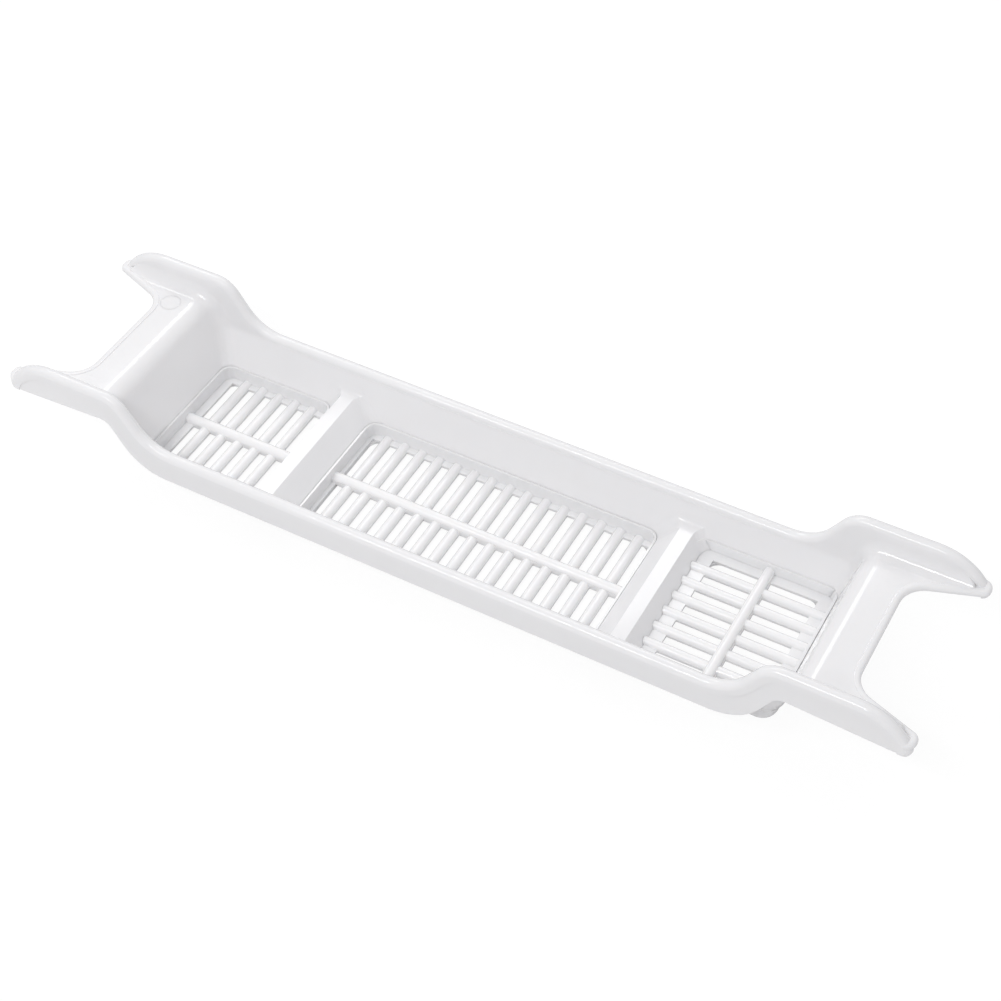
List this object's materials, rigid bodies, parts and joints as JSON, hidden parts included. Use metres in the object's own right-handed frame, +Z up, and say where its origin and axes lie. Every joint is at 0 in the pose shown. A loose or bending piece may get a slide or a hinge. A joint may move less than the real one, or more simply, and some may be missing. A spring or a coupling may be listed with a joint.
{
  "type": "bath caddy",
  "caption": "Moulded white bath caddy that spans a tub: a rimmed tray with raised forked arms, two dividers and lift-out slatted floors for bottles and soap.",
  "frame": {"origin": "centre of the length and width, on the surface the caddy stands on", "axes": "+X along the caddy towards the soap end, +Y towards the back, +Z up"},
  "size_m": [0.73, 0.157, 0.0925],
  "materials": {
    "white_moulding": "smooth glossy white polypropylene",
    "white_rack": "glossy white polypropylene, slightly softer than the tray",
    "grip_rubber": "matt pale grey soft rubber"
  },
  "bodies": {
    "tray": {"tray": "white_moulding", "grip_pad_front_left": "grip_rubber", "grip_pad_front_right": "grip_rubber", "grip_pad_back_left": "grip_rubber", "grip_pad_back_right": "grip_rubber"},
    "bottle_rack": {"bottle_rack": "white_rack"},
    "slat_rack": {"slat_rack": "white_rack"},
    "soap_rack": {"soap_rack": "white_rack"}
  },
  "joints": [
    {"name": "bottle_rack_lift", "type": "slide", "parent": "tray", "child": "bottle_rack", "axis": [0, 0, 1], "range_m": [0, 0.06]},
    {"name": "slat_rack_lift", "type": "slide", "parent": "tray", "child": "slat_rack", "axis": [0, 0, 1], "range_m": [0, 0.06]},
    {"name": "soap_rack_lift", "type": "slide", "parent": "tray", "child": "soap_rack", "axis": [0, 0, 1], "range_m": [0, 0.06]}
  ]
}
